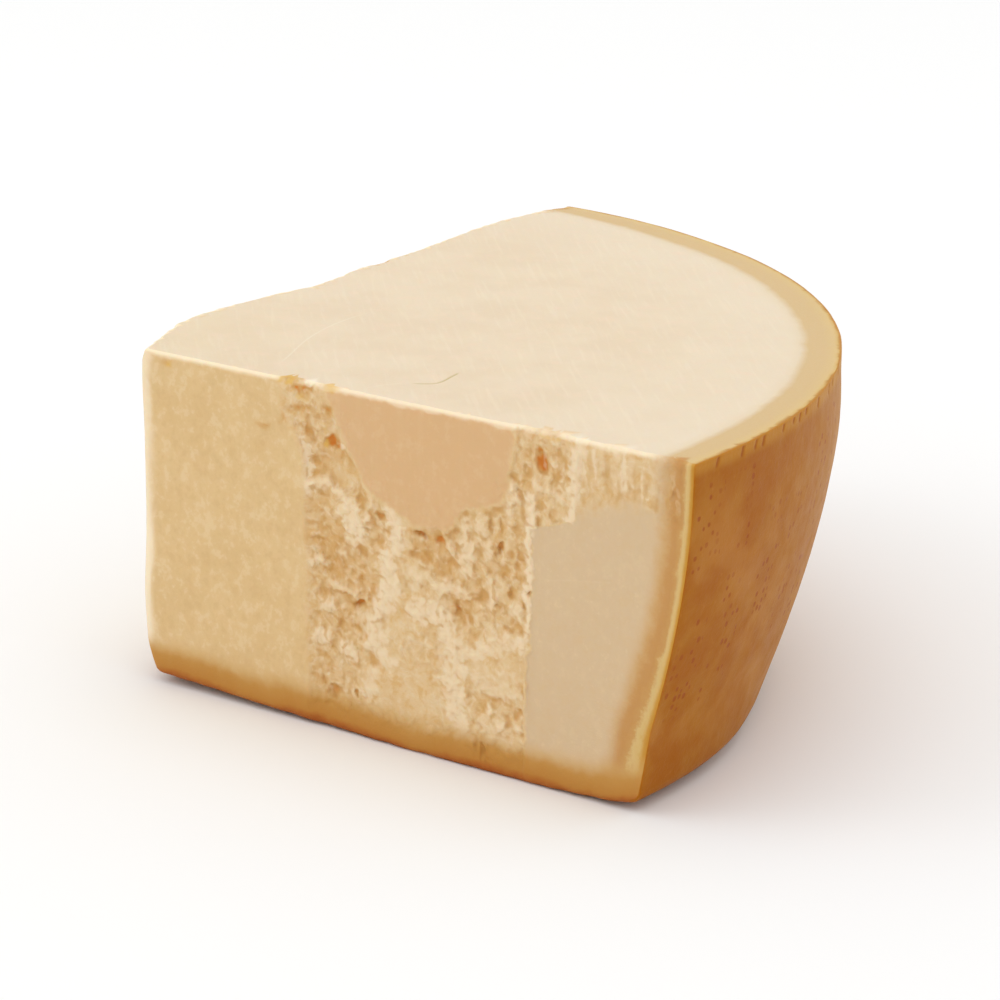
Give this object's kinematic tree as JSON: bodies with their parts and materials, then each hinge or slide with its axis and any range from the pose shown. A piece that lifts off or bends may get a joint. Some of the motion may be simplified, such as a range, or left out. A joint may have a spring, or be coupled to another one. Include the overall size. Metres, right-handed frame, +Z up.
{
  "type": "grana padano chunk",
  "caption": "Wedge of hard aged grating cheese, a quarter round at half the wheel's height, with level cut top, split grainy cut faces and a smooth barrel-shaped rind; rests flat.",
  "frame": {"origin": "middle of the block's footprint, on the plane of the flat rind face it rests on", "axes": "+Z up, from the flat rind face to the level cut; -Y out of the front cut; -X out of the back cut; +X and +Y towards the round rind"},
  "size_m": [0.209, 0.2174, 0.1003],
  "materials": {
    "cheese": "dry pale straw paste, grainy where split, with a waxy golden-brown rind"
  },
  "bodies": {
    "root": {"cheese_chunk": "cheese"}
  },
  "joints": []
}
